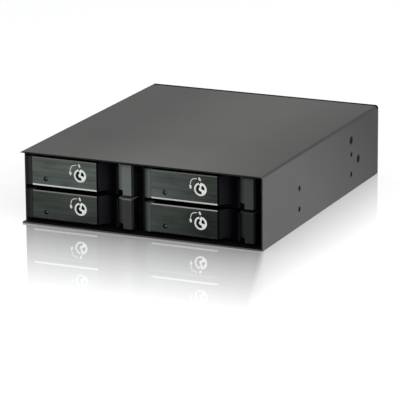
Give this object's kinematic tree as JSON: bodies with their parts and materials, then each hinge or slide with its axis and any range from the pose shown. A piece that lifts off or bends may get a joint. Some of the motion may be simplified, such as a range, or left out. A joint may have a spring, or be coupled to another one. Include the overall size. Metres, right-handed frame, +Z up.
{
  "type": "hot swap drive cage",
  "caption": "Sheet metal cage for a half height drive bay, with locking pull-out drive trays on swing-out eject levers, a backplane with sockets and a rear fan.",
  "frame": {"origin": "middle of the bottom face of the cage", "axes": "+X to the right seen from the front, +Y from the front lips to the rear wall, +Z up from the base"},
  "size_m": [0.146, 0.175, 0.0413],
  "materials": {
    "case_sheet": "satin grey coat on steel sheet",
    "inner_sheet": "zinc coated sheet",
    "tray_sheet": "zinc coated sheet",
    "tray_plastic": "fine texture",
    "lever_plastic": "fine texture",
    "faceplate_metal": "black anodised, brushed along its length",
    "latch_plastic": "fine texture",
    "spring_steel": "bright",
    "pin_steel": "ground",
    "lock_chrome": "polished",
    "lock_plug_metal": "polished",
    "clear_plastic": "clear",
    "board": "solder mask",
    "connector_plastic": "moulded",
    "inlet_plastic": "moulded",
    "lamp": "clear",
    "capacitor_metal": "bare can",
    "header_plastic": "moulded",
    "rivet_metal": "black oxide",
    "fan_plastic": "moulded"
  },
  "bodies": {
    "cage": {"top_cover": "case_sheet", "base_plate": "case_sheet", "centre_divider": "inner_sheet", "shelf_left": "inner_sheet", "shelf_right": "inner_sheet", "backplane_board": "board", "drive_sockets": "connector_plastic", "data_ports": "connector_plastic", "power_inlets": "inlet_plastic", "status_leds": "lamp", "capacitor": "capacitor_metal", "fan_header": "header_plastic", "board_brackets": "inner_sheet", "case_rivets": "rivet_metal", "fan_frame": "fan_plastic"},
    "fan": {"fan_rotor": "fan_plastic"},
    "tray_1": {"tray_1_pan": "tray_sheet", "tray_1_bezel": "tray_plastic", "tray_1_hinge_pin": "pin_steel", "tray_1_latch_spring": "spring_steel", "tray_1_light_pipe": "clear_plastic"},
    "lever_1": {"tray_1_lever": "lever_plastic", "tray_1_faceplate": "faceplate_metal", "tray_1_lock_barrel": "lock_chrome"},
    "latch_1": {"tray_1_latch": "latch_plastic"},
    "lock_1": {"tray_1_lock_plug": "lock_plug_metal"},
    "tray_2": {"tray_2_pan": "tray_sheet", "tray_2_bezel": "tray_plastic", "tray_2_hinge_pin": "pin_steel", "tray_2_latch_spring": "spring_steel", "tray_2_light_pipe": "clear_plastic"},
    "lever_2": {"tray_2_lever": "lever_plastic", "tray_2_faceplate": "faceplate_metal", "tray_2_lock_barrel": "lock_chrome"},
    "latch_2": {"tray_2_latch": "latch_plastic"},
    "lock_2": {"tray_2_lock_plug": "lock_plug_metal"},
    "tray_3": {"tray_3_pan": "tray_sheet", "tray_3_bezel": "tray_plastic", "tray_3_hinge_pin": "pin_steel", "tray_3_latch_spring": "spring_steel", "tray_3_light_pipe": "clear_plastic"},
    "lever_3": {"tray_3_lever": "lever_plastic", "tray_3_faceplate": "faceplate_metal", "tray_3_lock_barrel": "lock_chrome"},
    "latch_3": {"tray_3_latch": "latch_plastic"},
    "lock_3": {"tray_3_lock_plug": "lock_plug_metal"},
    "tray_4": {"tray_4_pan": "tray_sheet", "tray_4_bezel": "tray_plastic", "tray_4_hinge_pin": "pin_steel", "tray_4_latch_spring": "spring_steel", "tray_4_light_pipe": "clear_plastic"},
    "lever_4": {"tray_4_lever": "lever_plastic", "tray_4_faceplate": "faceplate_metal", "tray_4_lock_barrel": "lock_chrome"},
    "latch_4": {"tray_4_latch": "latch_plastic"},
    "lock_4": {"tray_4_lock_plug": "lock_plug_metal"}
  },
  "joints": [
    {"name": "tray_1_slide", "type": "slide", "parent": "cage", "child": "tray_1", "axis": [0, -1, 0], "range_m": [0, 0.13]},
    {"name": "lever_1_hinge", "type": "hinge", "parent": "tray_1", "child": "lever_1", "pos_m": [-0.0689, -0.0819, 0.0302], "axis": [0, 0, -1], "range_deg": [0, 85]},
    {"name": "latch_1_slide", "type": "slide", "parent": "tray_1", "child": "latch_1", "axis": [1, 0, 0], "range_m": [0, 0.003], "stiffness_N_per_m": 150, "deforming": ["tray_1_latch_spring"]},
    {"name": "lock_1_turn", "type": "hinge", "parent": "lever_1", "child": "lock_1", "pos_m": [-0.037, -0.0853, 0.0302], "axis": [0, 1, 0], "range_deg": [0, 90]},
    {"name": "tray_2_slide", "type": "slide", "parent": "cage", "child": "tray_2", "axis": [0, -1, 0], "range_m": [0, 0.13]},
    {"name": "lever_2_hinge", "type": "hinge", "parent": "tray_2", "child": "lever_2", "pos_m": [-0.0689, -0.0819, 0.0111], "axis": [0, 0, -1], "range_deg": [0, 85]},
    {"name": "latch_2_slide", "type": "slide", "parent": "tray_2", "child": "latch_2", "axis": [1, 0, 0], "range_m": [0, 0.003], "stiffness_N_per_m": 150, "deforming": ["tray_2_latch_spring"]},
    {"name": "lock_2_turn", "type": "hinge", "parent": "lever_2", "child": "lock_2", "pos_m": [-0.037, -0.0853, 0.0111], "axis": [0, 1, 0], "range_deg": [0, 90]},
    {"name": "tray_3_slide", "type": "slide", "parent": "cage", "child": "tray_3", "axis": [0, -1, 0], "range_m": [0, 0.13]},
    {"name": "lever_3_hinge", "type": "hinge", "parent": "tray_3", "child": "lever_3", "pos_m": [0.0037, -0.0819, 0.0302], "axis": [0, 0, -1], "range_deg": [0, 85]},
    {"name": "latch_3_slide", "type": "slide", "parent": "tray_3", "child": "latch_3", "axis": [1, 0, 0], "range_m": [0, 0.003], "stiffness_N_per_m": 150, "deforming": ["tray_3_latch_spring"]},
    {"name": "lock_3_turn", "type": "hinge", "parent": "lever_3", "child": "lock_3", "pos_m": [0.0356, -0.0853, 0.0302], "axis": [0, 1, 0], "range_deg": [0, 90]},
    {"name": "tray_4_slide", "type": "slide", "parent": "cage", "child": "tray_4", "axis": [0, -1, 0], "range_m": [0, 0.13]},
    {"name": "lever_4_hinge", "type": "hinge", "parent": "tray_4", "child": "lever_4", "pos_m": [0.0037, -0.0819, 0.0111], "axis": [0, 0, -1], "range_deg": [0, 85]},
    {"name": "latch_4_slide", "type": "slide", "parent": "tray_4", "child": "latch_4", "axis": [1, 0, 0], "range_m": [0, 0.003], "stiffness_N_per_m": 150, "deforming": ["tray_4_latch_spring"]},
    {"name": "lock_4_turn", "type": "hinge", "parent": "lever_4", "child": "lock_4", "pos_m": [0.0356, -0.0853, 0.0111], "axis": [0, 1, 0], "range_deg": [0, 90]},
    {"name": "fan_spin", "type": "hinge", "parent": "cage", "child": "fan", "pos_m": [0, 0.0775, 0.02065], "axis": [0, 1, 0], "continuous": true}
  ]
}
